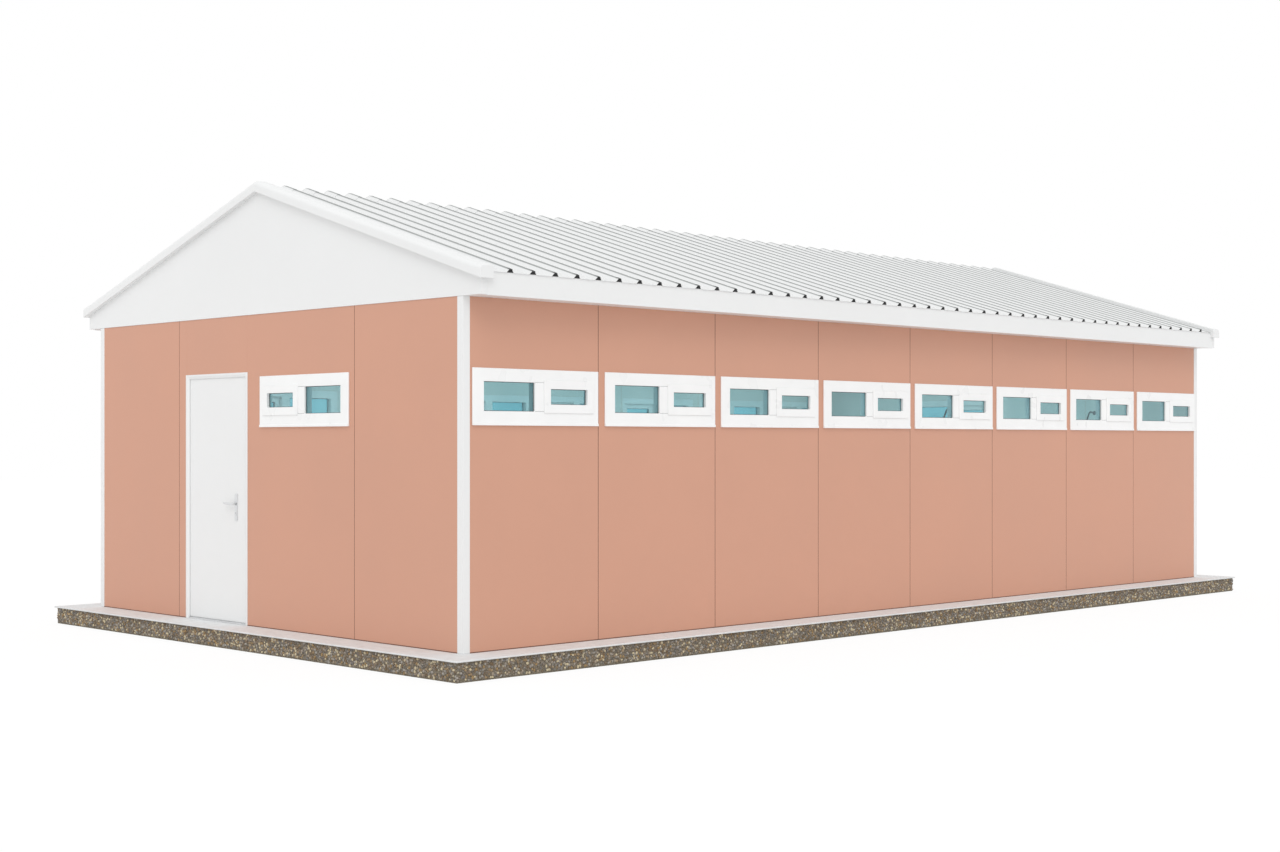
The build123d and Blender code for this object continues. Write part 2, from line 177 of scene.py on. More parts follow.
def vary_roughness(material, factor, low, high):
    """Spreads a socket's middle range over two roughness values."""
    tree = material.node_tree
    spread = tree.nodes.new("ShaderNodeMapRange")
    spread.inputs["From Min"].default_value = 0.3
    spread.inputs["From Max"].default_value = 0.7
    spread.inputs["To Min"].default_value = low
    spread.inputs["To Max"].default_value = high
    tree.links.new(factor, spread.inputs["Value"])
    tree.links.new(spread.outputs["Result"], shader_of(material).inputs["Roughness"])


def add_bump(material, height, depth, strength=1.0):
    """Turns a socket into relief of a real depth in metres."""
    tree = material.node_tree
    bump = tree.nodes.new("ShaderNodeBump")
    bump.inputs["Strength"].default_value = strength
    bump.inputs["Distance"].default_value = depth
    tree.links.new(height, bump.inputs["Height"])
    tree.links.new(bump.outputs["Normal"], shader_of(material).inputs["Normal"])


def toned(colour, share):
    """A colour made lighter or darker by a share of itself."""
    return tuple(min(1.0, level * (1 + share)) for level in colour[:3]) + (1.0,)


print("shader helpers ready")

# %% [markdown]
# ## Painted sheet and panel finishes
#
# The walls, posts, door and eaves are factory paint on steel. Such paint is even, but it isn't flat:
# it has a faint cloudiness over a metre or two, a sheen that changes a little, and an orange-peel
# skin a few millimetres across. One function makes all of these paints from a colour and a sheen.


# %% Paints
def painted_sheet(name, colour, roughness, cloud=0.025, peel_depth=0.00006):
    """Coil-coated paint: slow clouding, a varying sheen and a fine orange peel."""
    material = new_finish(name, colour, roughness)
    clouds = object_noise(material, 0.9, detail=5.0)
    vary_colour(material, clouds, [toned(colour, -cloud), colour, toned(colour, cloud)])
    vary_roughness(material, clouds, roughness - 0.05, roughness + 0.06)
    add_bump(material, object_noise(material, 260.0, detail=1.0), peel_depth)
    return material


SALMON = screen_colour(211, 158, 134)
WHITE = screen_colour(238, 239, 239)
salmon_panel = painted_sheet("salmon_panel_paint", SALMON, 0.5)
white_steel = painted_sheet("white_steel_paint", WHITE, 0.38, cloud=0.012)
inner_white = painted_sheet("inner_white_paint", screen_colour(236, 236, 233), 0.55, cloud=0.015)
# A dark tone for the seam strips and the foot bead: painted shade in the panel seams and along the foot of
# the walls.
seam_shade_paint = painted_sheet("panel_seam_painted_shade", screen_colour(106, 72, 58), 0.7)
print("paints:", salmon_panel.name, white_steel.name, inner_white.name)

# %% [markdown]
# ## The roof coating
#
# The flat crests of the ribs are painted a darker grey than the pans and the steep flanks. This is
# painted shade, and it is why ribs read as thin lines from far away. The coating takes the distance
# to the nearest rib from the Object coordinate along the cabin, and a ramp turns that distance into
# the painted shade tone or the clean tone, so it fits the sheets and the ridge cap alike.

# %% Roof coating
RIB_PITCH = 207.2 * MM
FIRST_RIB = 246.0 * MM
RIB_BASE = 66.0 * MM
RIB_TOP = 26.0 * MM
CREST_SHADE_SPAN = 50.0 * MM
CREST_SHADE_EDGE = 6.0 * MM
FRONT_TO_WALL = 290.0 * MM


def chain(tree, source, *steps):
    """Runs a socket through maths steps, each an operation and its second number."""
    for operation, number in steps:
        node = tree.nodes.new("ShaderNodeMath")
        node.operation = operation
        if number is not None:
            node.inputs[1].default_value = number
        tree.links.new(source, node.inputs[0])
        source = node.outputs[0]
    return source


def ribbed_coating():
    """Light grey coating with painted shade on the crests of the ribs."""
    clean = screen_colour(234, 235, 235)
    # The darker tone is painted shade on the rib crests.
    crest_shade_tone = screen_colour(132, 136, 135)
    material = new_finish("roof_sheet_coating", clean, 0.42)
    tree = material.node_tree
    place = tree.nodes.new("ShaderNodeTexCoord")
    split = tree.nodes.new("ShaderNodeSeparateXYZ")
    tree.links.new(place.outputs["Object"], split.inputs[0])
    front_rib = cad_bounds[0][1] + FRONT_TO_WALL + FIRST_RIB
    distance = chain(
        tree,
        split.outputs["Y"],
        ("SUBTRACT", front_rib - RIB_PITCH / 2),
        ("DIVIDE", RIB_PITCH),
        ("FRACT", None),
        ("SUBTRACT", 0.5),
        ("ABSOLUTE", None),
        ("MULTIPLY", RIB_PITCH / CREST_SHADE_SPAN),
    )
    crest = RIB_TOP / 2
    vary_colour(material, distance, [crest_shade_tone, clean], crest / CREST_SHADE_SPAN, (crest + CREST_SHADE_EDGE) / CREST_SHADE_SPAN)
    streaks = object_noise(material, 3.0, stretch=(0.25, 4.0, 1.0), detail=5.0)
    vary_roughness(material, streaks, 0.34, 0.52)
    add_bump(material, object_noise(material, 240.0, detail=1.0), 0.00005)
    return material


roof_metal = ribbed_coating()
print("roof coating:", roof_metal.name)

# %% [markdown]
# ## Window plastic, rubber, metal and glass
#
# Moulded window plastic is smoother and glossier than paint. The gaskets are soft black rubber. The
# lever, hinges and pipes are satin metal: a metallic shader whose roughness is streaked along one
# direction, as brushing leaves it. The panes are tinted, so the glass is a Principled shader with
# full transmission, and its base colour is the tint.

# %% Plastic, rubber, metal and glass
window_plastic = new_finish("window_plastic", screen_colour(248, 249, 249), 0.3)
plastic_skin = object_noise(window_plastic, 5.0, detail=2.0)
vary_colour(window_plastic, plastic_skin, [screen_colour(246, 247, 247), screen_colour(250, 251, 251)])
vary_roughness(window_plastic, plastic_skin, 0.26, 0.36)
add_bump(window_plastic, object_noise(window_plastic, 160.0, detail=1.0), 0.00001)


def rubber(name, dark, light):
    """Matt rubber with a grainy skin, between two tones."""
    material = new_finish(name, dark, 0.7)
    grain = object_noise(material, 300.0)
    vary_colour(material, grain, [dark, light])
    add_bump(material, grain, 0.0001)
    return material


gasket_rubber = rubber("gasket_rubber", screen_colour(64, 68, 70), screen_colour(86, 90, 92))
pale_rubber = rubber("pale_rubber", screen_colour(228, 230, 230), screen_colour(240, 241, 241))
# Near-black foam for the rib fillers; the keyways use it too, as painted shade in the slot.
foam_and_keyway_shade = rubber("rib_foam_and_keyway_shade", screen_colour(22, 23, 25), screen_colour(40, 41, 43))


def satin_metal(name, colour, roughness, stretch):
    """Brushed metal: its roughness and relief are streaked along one direction."""
    material = new_finish(name, colour, roughness, metallic=1.0)
    streaks = object_noise(material, 220.0, stretch=stretch)
    vary_colour(material, streaks, [toned(colour, -0.08), toned(colour, 0.06)])
    vary_roughness(material, streaks, roughness - 0.08, roughness + 0.1)
    add_bump(material, streaks, 0.00003)
    return material


bare_metal = satin_metal("satin_metal", screen_colour(226, 227, 228), 0.38, (0.08, 1.0, 1.0))
pipe_metal = satin_metal("pipe_metal", screen_colour(116, 120, 124), 0.3, (1.0, 1.0, 0.1))

pane_glass = new_finish("pane_glass", screen_colour(164, 213, 221), 0.02)
shader_of(pane_glass).inputs["Transmission Weight"].default_value = 1.0
shader_of(pane_glass).inputs["IOR"].default_value = 1.45
ripple = object_noise(pane_glass, 2.2, detail=1.0)
vary_colour(pane_glass, ripple, [screen_colour(157, 207, 216), screen_colour(171, 218, 226)])
add_bump(pane_glass, ripple, 0.0004)
print("window finishes:", window_plastic.name, gasket_rubber.name, pane_glass.name)

# %% [markdown]
# ## The base: mortar, pebbles and cap
#
# The sides of the base are pebbles pressed into mortar, and the cap is a smooth pale screed. The
# pebbles are real shapes, so their material only has to colour them: each carries one random number,
# which picks its stone from a ramp of greys, browns and ochres, and a noise mottles it.

# %% Stone finishes
PEBBLE_TONES = [
    screen_colour(72, 64, 54),
    screen_colour(140, 135, 128),
    screen_colour(116, 94, 66),
    screen_colour(168, 164, 158),
    screen_colour(160, 130, 84),
    screen_colour(112, 112, 116),
    screen_colour(208, 194, 162),
]


def pebble_finish():
    """Stone whose tone comes from each pebble's own number."""
    material = new_finish("pebble_stone", PEBBLE_TONES[1], 0.6)
    tree = material.node_tree
    stone = tree.nodes.new("ShaderNodeAttribute")
    stone.attribute_name = "stone"
    mottle = object_noise(material, 90.0, detail=4.0)
    shift = tree.nodes.new("ShaderNodeMath")
    shift.operation = "MULTIPLY_ADD"
    shift.inputs[1].default_value = 0.22
    tree.links.new(mottle, shift.inputs[0])
    tree.links.new(stone.outputs["Fac"], shift.inputs[2])
    vary_colour(material, shift.outputs[0], PEBBLE_TONES, low=0.05, high=1.1)
    vary_roughness(material, mottle, 0.5, 0.75)
    add_bump(material, object_noise(material, 400.0), 0.0003)
    return material


pebble_stone = pebble_finish()
base_mortar = new_finish("base_mortar", screen_colour(112, 103, 88), 0.9)
grit = object_noise(base_mortar, 110.0, detail=6.0)
vary_colour(base_mortar, grit, [screen_colour(70, 63, 52), screen_colour(150, 140, 122)])
add_bump(base_mortar, grit, 0.002)
base_cap = new_finish("base_cap_screed", screen_colour(226, 228, 229), 0.7)
trowelled = object_noise(base_cap, 14.0, detail=8.0)
vary_colour(base_cap, trowelled, [screen_colour(219, 221, 222), screen_colour(231, 233, 234)])
vary_roughness(base_cap, trowelled, 0.6, 0.8)
add_bump(base_cap, object_noise(base_cap, 180.0, detail=5.0), 0.0006)
print("stone finishes:", pebble_stone.name, base_mortar.name, base_cap.name)

# %% [markdown]
# ## Every CAD node takes its finish
#
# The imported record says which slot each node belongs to, so one dictionary from slot to material
# dresses the whole frame. A few nodes share a slot with others but have a finish of their own.

# %% Dress the CAD nodes
FINISH_OF_SLOT = {
    "salmon_panel": salmon_panel,
    "white_steel": white_steel,
    "inner_white": inner_white,
    "roof_metal": roof_metal,
    "window_plastic": window_plastic,
    "pane_glass": pane_glass,
    "bare_metal": bare_metal,
    "pebble_side": base_mortar,
    "base_cap": base_cap,
}
slot_of = {part["node"]: part["material_slot"] for part in frame["record"]["subparts"]}


def give(obj, material):
    """Puts one material in all of an object's slots."""
    if not obj.material_slots:
        obj.data.materials.append(material)
    for place in obj.material_slots:
        place.material = material


for node, part in nodes.items():
    give(part, FINISH_OF_SLOT[slot_of[node]])
give(nodes["shower_arms"], pipe_metal)
print("dressed", len(nodes), "CAD nodes")

# %% [markdown]
# ## Pieces: the shared steps
#
# A new piece is drawn in a bmesh, in metres and in place, so that its object can stay at the origin.
# Its faces are turned outwards, it takes a material, and it rides on the body that it is fixed to.
# Modifiers are evaluated into a plain mesh before that, because a piece handed over is final.


# %% Piece helpers
def settle(obj):
    """Evaluates an object's modifiers into a plain mesh and takes them off."""
    graph = bpy.context.evaluated_depsgraph_get()
    drawn = obj.data
    final = bpy.data.meshes.new_from_object(
        obj.evaluated_get(graph), preserve_all_data_layers=True, depsgraph=graph
    )
    obj.modifiers.clear()
    obj.data = final
    final.name = obj.name
    bpy.data.meshes.remove(drawn)


def round_edges(bm, width, segments=2, angle=30.0):
    """Rounds the sharp edges of a closed shape: its flat faces stay flat and the rounding is smooth."""
    bmesh.ops.recalc_face_normals(bm, faces=bm.faces)
    least = math.radians(angle)
    sharp = [edge for edge in bm.edges if edge.is_manifold and edge.calc_face_angle() > least]
    made = bmesh.ops.bevel(
        bm, geom=sharp, offset=width, segments=segments, profile=0.5, affect="EDGES", clamp_overlap=True
    )
    for face in bm.faces:
        face.smooth = False
    for face in made["faces"]:
        face.smooth = True


def settle_faces(bm):
    """Sorts the faces by their corners, because a second bevel leaves them in another order each run."""
    placed = sorted(bm.faces, key=lambda face: [tuple(vert.co) for vert in face.verts])
    for index, face in enumerate(placed):
        face.index = index
    bm.faces.sort()


def mesh_object(name, bm):
    """A mesh object at the origin, made from a bmesh as it is."""
    mesh = bpy.data.meshes.new(name)
    bm.to_mesh(mesh)
    bm.free()
    return add_object(name, mesh)


def object_from(name, bm, material):
    """A mesh object of one material, with its faces turned outwards."""
    bmesh.ops.recalc_face_normals(bm, faces=bm.faces)
    obj = mesh_object(name, bm)
    obj.data.materials.append(material)
    return obj


def fix(obj, body):
    """Hands a finished piece over: it rides on a body."""
    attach(obj, body)
    print(obj.name, "has", len(obj.data.polygons), "faces")
    return obj


def merged_copy(node):
    """A bmesh of a CAD node with its loose triangles merged and its flat faces joined."""
    bm = bmesh.new()
    bm.from_mesh(nodes[node].data)
    bmesh.ops.remove_doubles(bm, verts=bm.verts, dist=0.00001)
    bmesh.ops.dissolve_limit(
        bm, angle_limit=math.radians(0.5), verts=bm.verts, edges=bm.edges, use_dissolve_boundaries=False
    )
    return bm


def corners_of(places):
    """The lowest and highest corners of some points."""
    low = Vector(min(place[axis] for place in places) for axis in range(3))
    high = Vector(max(place[axis] for place in places) for axis in range(3))
    return low, high


def solids_of(node):
    """The lowest and highest corners of each separate solid in a node, sorted by place."""
    bm = merged_copy(node)
    waiting = set(bm.verts)
    boxes = []
    while waiting:
        front = [waiting.pop()]
        places = []
        while front:
            vert = front.pop()
            places.append(vert.co.copy())
            near = {edge.other_vert(vert) for edge in vert.link_edges} & waiting
            waiting -= near
            front.extend(near)
        boxes.append(corners_of(places))
    bm.free()
    return sorted(boxes, key=lambda box: tuple(box[0]))


print("solids in right_window_glass:", len(solids_of("right_window_glass")))

# %% [markdown]
# ## Rounded copies of the folded and moulded parts
#
# Steel folds with a radius of a millimetre or two, and moulded plastic has softer corners still.
# Those edges are what draws the bright lines on a white cabin, and CAD solids have none. Here each
# such node is copied, merged, and given a real radius, and the copy then stands for the node. The
# verge trims turn over the roof edge in a wide soft rounding that catches the light, and stand a
# little prouder than their solids. The wall panels get white inner faces and window reveals, because
# sandwich panels are coated white on the room side.

# %% Rounded copies
FOLD = 1.5 * MM
SOFT_CORNER = 3.0 * MM
ROOF_PITCH = math.radians(17.1)
VERGE_ROUNDING = 34.0 * MM
VERGE_STEPS = 6
VERGE_PROUD = 12.0 * MM
VERGE_RISE = 8.0 * MM
VERGE_SHORT = 25.0 * MM
ROUNDED = {
    "corner_posts": 3.0 * MM,
    "right_fascia": FOLD,
    "left_fascia": FOLD,
    "right_soffit": FOLD,
    "left_soffit": FOLD,
    "front_gable_panel": FOLD,
    "rear_gable_panel": FOLD,
    "front_verge_trim": 1.0 * MM,
    "rear_verge_trim": 1.0 * MM,
    "door_frame": 2.0 * MM,
    "door_leaf": 1.5 * MM,
    "door_threshold": FOLD,
    "door_handle_plates": 1.5 * MM,
    "plinth_cap": 4.0 * MM,
}
WINDOW_SIDES = ["right", "left", "front", "rear"]
for kind in ("frames", "sashes"):
    for side in WINDOW_SIDES:
        ROUNDED[f"{side}_window_{kind}"] = SOFT_CORNER
WALL_NODES = [node for node in nodes if slot_of[node] == "salmon_panel"]
body_of = {
    node: body for body, members in frame["record"]["behaviour"]["bodies"].items() for node in members
}


def outer_top_edges(bm, least_length):
    """The edges where the top of a verge trim, or of its cap, meets its outer face."""
    bm.normal_update()
    found = []
    for edge in bm.edges:
        upward = max(face.normal.z for face in edge.link_faces)
        middle = (edge.verts[0].co + edge.verts[1].co) / 2
        outward = max(face.normal.y * math.copysign(1.0, middle.y) for face in edge.link_faces)
        if upward > 0.9 and outward > 0.9 and edge.calc_length() > least_length:
            found.append(edge)
    return found


def round_outer_top(bm, least_length):
    """Gives the outer top edges of a verge trim, or of its cap, their wide soft rounding."""
    edges = outer_top_edges(bm, least_length)
    bmesh.ops.bevel(
        bm, geom=edges, offset=VERGE_ROUNDING, segments=VERGE_STEPS, profile=0.5, affect="EDGES"
    )
    return len(edges)


def swell_verge(bm):
    """Swells a verge trim forward and up, stops it short of the eaves and rounds its outer edge."""
    bm.normal_update()
    outer = max(abs(vert.co.y) for vert in bm.verts)
    reach = max(abs(vert.co.x) for vert in bm.verts)
    forward = [vert for vert in bm.verts if abs(vert.co.y) > outer - MM]
    ends = [vert for vert in bm.verts if abs(vert.co.x) > reach - MM]
    top = {vert for face in bm.faces if face.normal.z > 0.9 for vert in face.verts}
    for vert in forward:
        vert.co.y += math.copysign(VERGE_PROUD, vert.co.y)
    for vert in top:
        vert.co.z += VERGE_RISE
    for vert in ends:
        vert.co.x -= math.copysign(VERGE_SHORT, vert.co.x)
        vert.co.z += VERGE_SHORT * math.tan(ROOF_PITCH)
    print("verge edges rounded:", round_outer_top(bm, 1.0))


def rounded_copy(node, width):
    """A copy of a CAD node with rounded edges, which then stands for it."""
    bm = merged_copy(node)
    verge = "verge" in node
    if verge:
        swell_verge(bm)
    round_edges(bm, width)
    if verge:
        settle_faces(bm)
    copy = object_from("dressed_" + node, bm, FINISH_OF_SLOT[slot_of[node]])
    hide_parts(node)
    return fix(copy, body_of[node])


def whiten_room_side(panel):
    """Gives a wall panel's inward faces and window reveals the white coating of the room side."""
    panel.data.materials.append(inner_white)
    band_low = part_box("right_window_frames")[0].z
    band_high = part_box("right_window_frames")[1].z
    low, high = corners_of([vert.co for vert in panel.data.vertices])
    deep = 0 if high.x - low.x < high.y - low.y else 1
    side = math.copysign(1.0, low[deep] + high[deep])
    for face in panel.data.polygons:
        outward = face.normal[deep] * side
        reveal = abs(outward) < 0.5 and band_low < face.center.z < band_high
        if outward < -0.99 or reveal:
            face.material_index = 1


for node, width in ROUNDED.items():
    rounded_copy(node, width)
for node in WALL_NODES:
    whiten_room_side(rounded_copy(node, FOLD))

# %% [markdown]
# ## Strips in the panel seams
#
# Neighbouring wall panels stop a few millimetres short of each other, and a round-nosed filler strip
# closes the seam. Its outer side is painted dark, as painted shade for the shadow in the seam, and it
# lies just under the faces, so a seam reads as a thin dark line even from a flat angle; its room side
# is white. The seams are found from the panels themselves: wherever one solid ends and the next
# begins just after it.

# %% Panel seams
SEAM_SETBACK = 0.8 * MM
SEAM_BITE = 0.9 * MM
WIDEST_SEAM = 8.0 * MM
WALL_LIMIT = 100.0 * MM
FLAT_NOSE = 0.3
NOSE_STEPS = 5


def axis_vector(axis, length=1.0):
    """A vector along one of the frame's three axes."""
    vector = Vector((0, 0, 0))
    vector[axis] = length
    return vector


def prism(bm, outline, start, end):
    """A closed prism: an outline of points, carried from one place to another."""
    first = [bm.verts.new(point + start) for point in outline]
    last = [bm.verts.new(point + end) for point in outline]
    bm.faces.new(first)
    bm.faces.new(list(reversed(last)))
    for place, vert in enumerate(first):
        after = (place + 1) % len(first)
        bm.faces.new((vert, last[place], last[after], first[after]))


def seam_outline(middle, half, outer, inner, across, outward, bulge=1.0):
    """A strip's section: square at the back, with a round nose at the front."""
    points = [middle - across * half + outward * inner, middle + across * half + outward * inner]
    nose = half * bulge
    for step in range(NOSE_STEPS + 1):
        angle = math.pi * step / NOSE_STEPS
        side = across * half * math.cos(angle)
        points.append(middle + side + outward * (outer - nose + nose * math.sin(angle)))
    return points


def seam_strips():
    """Filler strips in every seam between neighbouring wall panels: the outer side dark with painted shade,
    and the room side white.
    """
    panels = [box for node in WALL_NODES for box in solids_of(node)]
    bm = bmesh.new()
    room = bmesh.new()
    seams = 0
    for low, high in panels:
        along = 0 if abs(low.y + high.y) > abs(low.x + high.x) and high.y - low.y < WALL_LIMIT else 1
        deep = 1 - along
        for other_low, other_high in panels:
            gap = other_low[along] - high[along]
            level = abs(other_low[deep] - low[deep]) < MM
            if not (0 < gap < WIDEST_SEAM and level):
                continue
            outward = axis_vector(deep, math.copysign(1.0, low[deep] + high[deep]))
            across = axis_vector(along)
            middle = axis_vector(along, high[along] + gap / 2)
            face = max(abs(low[deep]), abs(high[deep]))
            back = min(abs(low[deep]), abs(high[deep]))
            half = gap / 2 + SEAM_BITE
            centre = (face + back) / 2
            foot = UP * low.z
            head = UP * min(high.z, other_high.z)
            outer = seam_outline(middle, half, face - SEAM_SETBACK, centre, across, outward, FLAT_NOSE)
            inner = seam_outline(
                middle, half, -back - SEAM_SETBACK, -centre, across, -outward, FLAT_NOSE
            )
            prism(bm, outer, foot, head)
            prism(room, inner, foot, head)
            seams += 1
    print("seams found:", seams)
    # The outer strips take the dark painted shade of the seams.
    fix(object_from("panel_seam_strips", bm, seam_shade_paint), "cabin")
    fix(object_from("room_seam_strips", room, inner_white), "cabin")


seam_strips()

# %% [markdown]
# ## Window gaskets, sills and mullion joints
#
# Close up, what tells a real window from a white box with a hole is the thin black gasket round each
# pane, the nose of the sill along the bottom of the frame, and the joint where the mullion meets
# the bottom rail. A ring helper sweeps a small section round a rectangle with mitred corners, and
# each pane's own box says where its ring goes.

# %% Window gaskets
GASKET_WIDTH = 4.0 * MM
GASKET_DEPTH = 3.0 * MM


def face_of(low, high):
    """The outer face of a thin upright box: a corner, its directions and its size."""
    deep = 0 if high.x - low.x < high.y - low.y else 1
    outward = axis_vector(deep, math.copysign(1.0, low[deep] + high[deep]))
    across = axis_vector(1 - deep)
    corner = low.copy()
    corner[deep] = high[deep] if outward[deep] > 0 else low[deep]
    return corner, across, outward, high[1 - deep] - low[1 - deep], high.z - low.z


def ring(bm, face, section):
    """Sweeps a section of (inset, depth) points round a face with mitred corners."""
    corner, across, outward, width, height = face
    loops = []
    for inset, depth in section:
        spots = (
            (inset, inset),
            (width - inset, inset),
            (width - inset, height - inset),
            (inset, height - inset),
        )
        loops.append([bm.verts.new(corner + across * x + UP * z + outward * depth) for x, z in spots])
    for place, loop in enumerate(loops):
        after = loops[(place + 1) % len(loops)]
        for side in range(4):
            turn = (side + 1) % 4
            bm.faces.new((loop[side], loop[turn], after[turn], after[side]))


GASKET_SECTION = [
    (0.0, 0.0),
    (GASKET_WIDTH, 0.0),
    (GASKET_WIDTH * 0.8, GASKET_DEPTH * 0.7),
    (GASKET_WIDTH * 0.4, GASKET_DEPTH),
    (0.0, GASKET_DEPTH),
]
for side in WINDOW_SIDES:
    bm = bmesh.new()
    for low, high in solids_of(side + "_window_glass"):
        ring(bm, face_of(low, high), GASKET_SECTION)
    fix(object_from(side + "_window_gaskets", bm, gasket_rubber), "cabin")

# %% Window sills and mullion joints
SILL_HEIGHT = 20.0 * MM
SILL_PROUD = 4.0 * MM
JOINT_WIDTH = 1.6 * MM
JOINT_PROUD = 0.3 * MM
JOINT_REACH = 83.0 * MM
SILL_ROUNDING = 0.8 * MM


def bar(bm, face, x, z, width, height, depth, slope=0.0):
    """A bar on a face, from x and z, standing out by depth, with a top that may slope back."""
    corner, across, outward, _, _ = face
    section = [
        UP * z,
        UP * z + outward * depth,
        UP * (z + height - slope) + outward * depth,
        UP * (z + height),
    ]
    prism(bm, section, corner + across * x, corner + across * (x + width))


def panes_inside(panes, low, high):
    """The panes that lie in one window frame's box, the smallest first."""
    found = []
    for pane_low, pane_high in panes:
        if all(pane_low[a] >= low[a] - MM and pane_high[a] <= high[a] + MM for a in range(3)):
            found.append((pane_low, pane_high))
    return sorted(found, key=lambda box: (box[1] - box[0]).length)


for side in WINDOW_SIDES:
    sills = bmesh.new()
    joints = bmesh.new()
    panes = solids_of(side + "_window_glass")
    for low, high in solids_of(side + "_window_frames"):
        face = face_of(low, high)
        bar(sills, face, 0.0, 0.0, face[3], SILL_HEIGHT, SILL_PROUD, slope=SILL_PROUD)
        small, wide = panes_inside(panes, low, high)
        along = 1 if abs(face[1].y) > 0.5 else 0
        first, last = sorted((wide, small), key=lambda box: box[0][along])
        start = first[1][along] - low[along]
        gap = last[0][along] - first[1][along]
        reach = min(gap, JOINT_REACH)
        start = start if first is wide else start + gap - reach
        bar(joints, face, start, wide[0].z - low.z, reach, JOINT_WIDTH, JOINT_PROUD)
        bar(joints, face, start, wide[1].z - low.z, reach, JOINT_WIDTH, JOINT_PROUD)
    round_edges(sills, SILL_ROUNDING)
    fix(object_from(side + "_window_sills", sills, window_plastic), "cabin")
    fix(object_from(side + "_mullion_joints", joints, gasket_rubber), "cabin")

# %% [markdown]
# ## The pebble facing
#
# Several thousand pebbles are a job for Geometry Nodes. The tree scatters points over the sides of
# the base with a least distance between them, puts a squashed round stone of its own size and turn
# on each, and stores one random number per stone for the material. It ends by realizing the
# instances, so what is left is a plain mesh. Each side of the base is a piece of its own.


# %% Geometry Nodes helpers
def start_tree(name, sockets):
    """A Geometry Nodes tree with its named inputs, and its input and output nodes."""
    tree = bpy.data.node_groups.new(name, "GeometryNodeTree")
    tree.interface.new_socket("Geometry", in_out="INPUT", socket_type="NodeSocketGeometry")
    for label, kind, value in sockets:
        socket = tree.interface.new_socket(label, in_out="INPUT", socket_type=kind)
        if value is not None:
            socket.default_value = value
    tree.interface.new_socket("Geometry", in_out="OUTPUT", socket_type="NodeSocketGeometry")
    return tree, tree.nodes.new("NodeGroupInput"), tree.nodes.new("NodeGroupOutput")


def node_in(tree, kind, links=(), **values):
    """Adds a node, sets its properties and joins sockets to its inputs."""
    node = tree.nodes.new(kind)
    for label, value in values.items():
        setattr(node, label, value)
    for label, source in links:
        if hasattr(source, "is_output"):
            tree.links.new(source, node.inputs[label])
        else:
            node.inputs[label].default_value = source
    return node


def end_tree(tree, output, geometry, material):
    """Realizes the instances, sets their material and hands them out."""
    real = node_in(tree, "GeometryNodeRealizeInstances", [("Geometry", geometry)])
    painted = node_in(
        tree, "GeometryNodeSetMaterial", [("Geometry", real.outputs[0]), ("Material", material)]
    )
    tree.links.new(painted.outputs[0], output.inputs["Geometry"])


def grow(obj, tree, values):
    """Runs a tree on an object, with its inputs set by name, and keeps the plain result."""
    modifier = obj.modifiers.new(tree.name, "NODES")
    modifier.node_group = tree
    names = {item.name: item.identifier for item in tree.interface.items_tree if item.in_out == "INPUT"}
    for label, value in values.items():
        modifier[names[label]] = value
    settle(obj)


# %% The pebble tree
PEBBLE_SPACING = 16.0 * MM
PEBBLE_RADIUS = 13.5 * MM
PEBBLE_SUNK = 3.0 * MM
PEBBLE_DENSITY = 14000.0
PEBBLE_SEGMENTS = 7
PEBBLE_RINGS = 4
SMALLEST_PEBBLE = (0.62, 0.62, 0.5)
LARGEST_PEBBLE = (1.25, 1.05, 0.85)
TURN_SEED = 11
SIZE_SEED = 23


def pebble_tree():
    """Scatters squashed round stones over the faces that come in."""
    tree, inputs, output = start_tree(
        "scatter_pebbles",
        [
            ("Spacing", "NodeSocketFloat", PEBBLE_SPACING),
            ("Radius", "NodeSocketFloat", PEBBLE_RADIUS),
            ("Density", "NodeSocketFloat", PEBBLE_DENSITY),
            ("Seed", "NodeSocketInt", 1),
            ("Material", "NodeSocketMaterial", None),
        ],
    )
    stone = node_in(
        tree,
        "GeometryNodeMeshUVSphere",
        [
            ("Segments", PEBBLE_SEGMENTS),
            ("Rings", PEBBLE_RINGS),
            ("Radius", inputs.outputs["Radius"]),
        ],
    )
    smooth = node_in(tree, "GeometryNodeSetShadeSmooth", [("Geometry", stone.outputs["Mesh"])])
    points = node_in(
        tree,
        "GeometryNodeDistributePointsOnFaces",
        [
            ("Mesh", inputs.outputs["Geometry"]),
            ("Distance Min", inputs.outputs["Spacing"]),
            ("Density Max", inputs.outputs["Density"]),
            ("Seed", inputs.outputs["Seed"]),
        ],
        distribute_method="POISSON",
    )
    number = node_in(tree, "FunctionNodeRandomValue", [("Seed", inputs.outputs["Seed"])])
    kept = node_in(
        tree,
        "GeometryNodeStoreNamedAttribute",
        [("Geometry", points.outputs["Points"]), ("Name", "stone"), ("Value", number.outputs[1])],
    )
    turn = node_in(tree, "FunctionNodeRandomValue", [("Seed", TURN_SEED)], data_type="FLOAT_VECTOR")
    turn.inputs["Max"].default_value = (math.tau, math.tau, math.tau)
    size = node_in(tree, "FunctionNodeRandomValue", [("Seed", SIZE_SEED)], data_type="FLOAT_VECTOR")
    size.inputs["Min"].default_value = SMALLEST_PEBBLE
    size.inputs["Max"].default_value = LARGEST_PEBBLE
    laid = node_in(
        tree,
        "GeometryNodeInstanceOnPoints",
        [
            ("Points", kept.outputs[0]),
            ("Instance", smooth.outputs[0]),
            ("Rotation", turn.outputs[0]),
            ("Scale", size.outputs[0]),
        ],
    )
    end_tree(tree, output, laid.outputs[0], inputs.outputs["Material"])
    return tree


# %% Pebbles on the four sides
pebbles = pebble_tree()
block_low, block_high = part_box("plinth_base")
PEBBLE_MARGIN = 15.0 * MM


